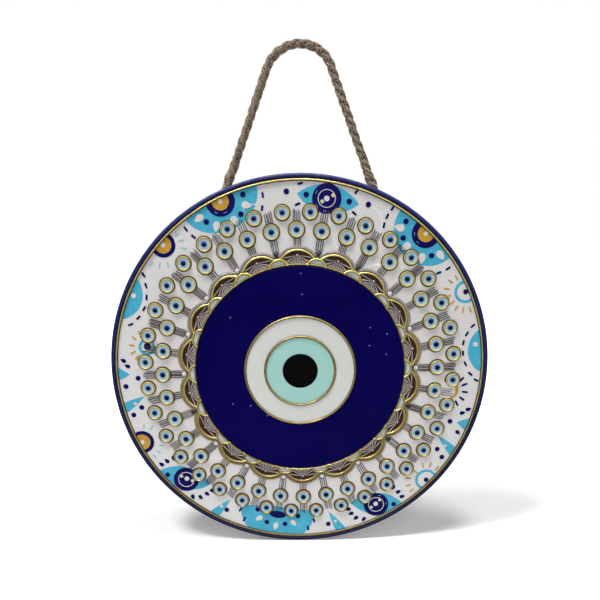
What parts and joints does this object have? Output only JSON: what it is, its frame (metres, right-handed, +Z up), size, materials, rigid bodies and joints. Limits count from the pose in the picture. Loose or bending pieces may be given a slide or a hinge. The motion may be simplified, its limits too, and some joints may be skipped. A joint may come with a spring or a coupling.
{
  "type": "evil eye wall ornament",
  "caption": "Round plaque with a cobalt rim, concentric evil eye, gold scallops and rings of small gold-rimmed eyes, hung by a jute rope from two rings on its back.",
  "frame": {"origin": "where the rope's apex bears on the nail or hook, at the underside of the rope", "axes": "+Z up, +X to the right seen from the front, the decorated face looks along -Y and the wall is at +Y"},
  "size_m": [0.2, 0.0195, 0.2625],
  "materials": {
    "blue_body": "deep cobalt blue gloss lacquer",
    "felt": "dark navy felt",
    "white_face": "glossy off-white lacquer with printed motifs",
    "gold": "polished gold with darker sides",
    "navy_resin": "deep navy glossy resin",
    "white_enamel": "glossy white enamel",
    "turquoise_enamel": "pale turquoise enamel",
    "black_enamel": "glossy black enamel",
    "grey_metal": "dark grey metal paint",
    "fan_enamel": "grey-brown enamel",
    "pearl": "pearly white",
    "pale_enamel": "pale sea-green enamel",
    "dark_bead": "dark grey gloss",
    "small_eye_white": "glossy white enamel",
    "small_eye_blue": "light blue enamel",
    "small_eye_dark": "blue-black enamel",
    "steel": "zinc-plated steel",
    "rubber": "matt black rubber",
    "jute": "grey-brown twisted jute"
  },
  "bodies": {
    "hanger": {"left_ring": "steel", "right_ring": "steel", "left_rope_eye": "jute", "right_rope_eye": "jute", "left_splice": "jute", "right_splice": "jute", "rope_loop": "jute"},
    "plaque": {"base_plate": "blue_body", "backing_felt": "felt", "face_panel": "white_face", "rim_bead": "gold", "navy_field": "navy_resin", "eye_white_ring": "white_enamel", "eye_iris": "turquoise_enamel", "eye_pupil": "black_enamel", "eye_outer_bead": "gold", "eye_inner_bead": "gold", "gold_filigree": "gold", "outer_arcs": "grey_metal", "fan_panels": "fan_enamel", "fan_pearls": "pearl", "link_enamels": "pale_enamel", "white_beads": "pearl", "dark_beads": "dark_bead", "inner_eye_rims": "gold", "inner_eye_whites": "small_eye_white", "inner_eye_irises": "small_eye_blue", "inner_eye_pupils": "small_eye_dark", "outer_eye_rims": "gold", "outer_eye_whites": "small_eye_white", "outer_eye_irises": "small_eye_blue", "outer_eye_pupils": "small_eye_dark", "left_strap": "steel", "right_strap": "steel", "strap_screws": "steel", "wall_feet": "rubber"}
  },
  "joints": [
    {"name": "hanger_swing", "type": "hinge", "parent": "hanger", "child": "plaque", "pos_m": [0, -0.00365, -0.082], "axis": [1, 0, 0], "range_deg": [0, 115]}
  ]
}
